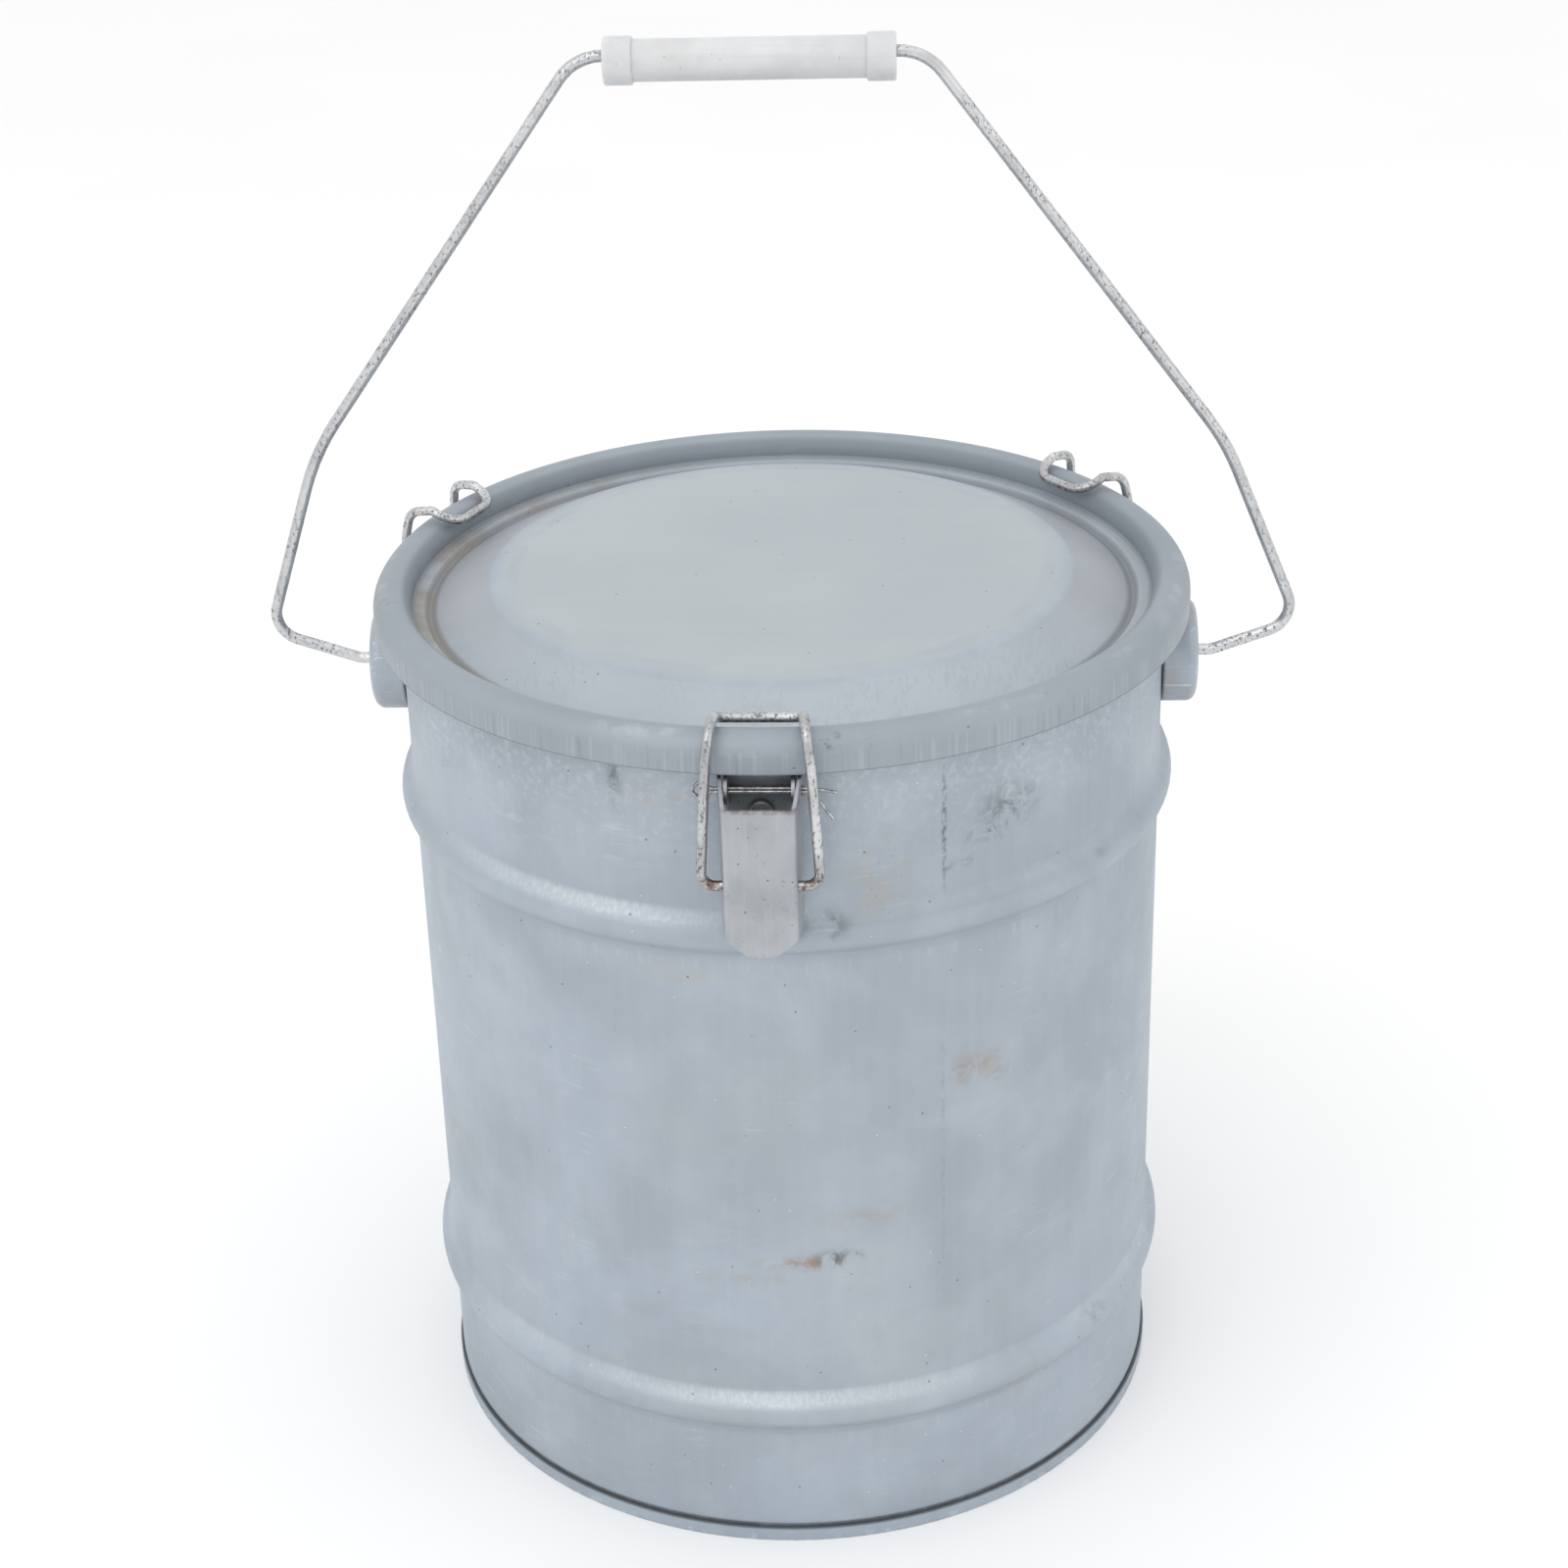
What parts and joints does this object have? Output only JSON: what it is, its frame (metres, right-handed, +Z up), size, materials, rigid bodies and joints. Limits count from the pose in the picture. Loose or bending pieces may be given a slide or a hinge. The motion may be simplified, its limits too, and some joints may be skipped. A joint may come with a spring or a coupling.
{
  "type": "milk can",
  "caption": "Round sheet-steel milk can with rolled beads, a dished lid held by toggle latches, and a wire bail with a turning grip.",
  "frame": {"origin": "centre of the flat ring that the can stands on", "axes": "+Z up along the can's axis; +X along the bail's hinge line, from the left ear to the right ear; -Y towards the front latch"},
  "size_m": [0.3247, 0.2651, 0.4546],
  "materials": {
    "galvanised_sheet": "dull grey zinc, faintly mottled and stained",
    "pressed_fittings": "plain pressed sheet, a little rust on cut edges",
    "galvanised_wire": "pitted zinc-coated wire",
    "bright_wire": "thin bright wire",
    "white_plastic": "satin, slightly translucent",
    "grey_rubber": "matt"
  },
  "bodies": {
    "can": {"body_shell": "galvanised_sheet", "bottom_pan": "galvanised_sheet", "rim_wire": "galvanised_wire", "ear_left": "galvanised_sheet", "ear_right": "galvanised_sheet", "front_latch_bracket": "pressed_fittings", "front_bracket_rivets": "pressed_fittings", "front_split_pin": "bright_wire", "rear_right_latch_bracket": "pressed_fittings", "rear_right_bracket_rivets": "pressed_fittings", "rear_right_split_pin": "bright_wire", "rear_left_latch_bracket": "pressed_fittings", "rear_left_bracket_rivets": "pressed_fittings", "rear_left_split_pin": "bright_wire"},
    "lid": {"lid_panel": "galvanised_sheet", "lid_gasket": "grey_rubber"},
    "bail": {"bail_wire": "galvanised_wire"},
    "grip": {"bail_grip": "white_plastic"},
    "front_lever": {"front_latch_lever": "pressed_fittings"},
    "front_hoop": {"front_latch_hoop": "galvanised_wire"},
    "rear_right_lever": {"rear_right_latch_lever": "pressed_fittings"},
    "rear_right_hoop": {"rear_right_latch_hoop": "galvanised_wire"},
    "rear_left_lever": {"rear_left_latch_lever": "pressed_fittings"},
    "rear_left_hoop": {"rear_left_latch_hoop": "galvanised_wire"}
  },
  "joints": [
    {"name": "lid_lift", "type": "slide", "parent": "can", "child": "lid", "axis": [0, 0, 1], "range_m": [0, 0.012]},
    {"name": "bail_swing", "type": "hinge", "parent": "can", "child": "bail", "pos_m": [0, 0, 0.258], "axis": [1, 0, 0], "range_deg": [-135, 135]},
    {"name": "grip_spin", "type": "hinge", "parent": "bail", "child": "grip", "pos_m": [-0.005, 0, 0.4475], "axis": [1, 0, 0], "continuous": true},
    {"name": "front_lever_swing", "type": "hinge", "parent": "can", "child": "front_lever", "pos_m": [-0.00219, -0.12548, 0.272], "axis": [-0.9998, 0.0175, 0], "range_deg": [0, 90.5]},
    {"name": "front_hoop_swing", "type": "hinge", "parent": "front_lever", "child": "front_hoop", "pos_m": [-0.00233, -0.13378, 0.246], "axis": [0.9998, -0.0175, 0], "range_deg": [0, 212]},
    {"name": "rear_right_lever_swing", "type": "hinge", "parent": "can", "child": "rear_right_lever", "pos_m": [0.10023, 0.07553, 0.272], "axis": [0.6018, -0.7986, 0], "range_deg": [0, 90.5]},
    {"name": "rear_right_hoop_swing", "type": "hinge", "parent": "rear_right_lever", "child": "rear_right_hoop", "pos_m": [0.10686, 0.08052, 0.246], "axis": [-0.6018, 0.7986, 0], "range_deg": [0, 212]},
    {"name": "rear_left_lever_swing", "type": "hinge", "parent": "can", "child": "rear_left_lever", "pos_m": [-0.11374, 0.05304, 0.272], "axis": [0.4226, 0.9063, 0], "range_deg": [0, 90.5]},
    {"name": "rear_left_hoop_swing", "type": "hinge", "parent": "rear_left_lever", "child": "rear_left_hoop", "pos_m": [-0.12126, 0.05655, 0.246], "axis": [-0.4226, -0.9063, 0], "range_deg": [0, 212]}
  ],
  "couplings": [
    {"joint": "front_lever_swing", "follows": "lid_lift", "rad_per_m": 130.9},
    {"joint": "front_hoop_swing", "follows": "lid_lift", "rad_per_m": 307.61},
    {"joint": "rear_right_lever_swing", "follows": "lid_lift", "rad_per_m": 130.9},
    {"joint": "rear_right_hoop_swing", "follows": "lid_lift", "rad_per_m": 307.61},
    {"joint": "rear_left_lever_swing", "follows": "lid_lift", "rad_per_m": 130.9},
    {"joint": "rear_left_hoop_swing", "follows": "lid_lift", "rad_per_m": 307.61}
  ]
}
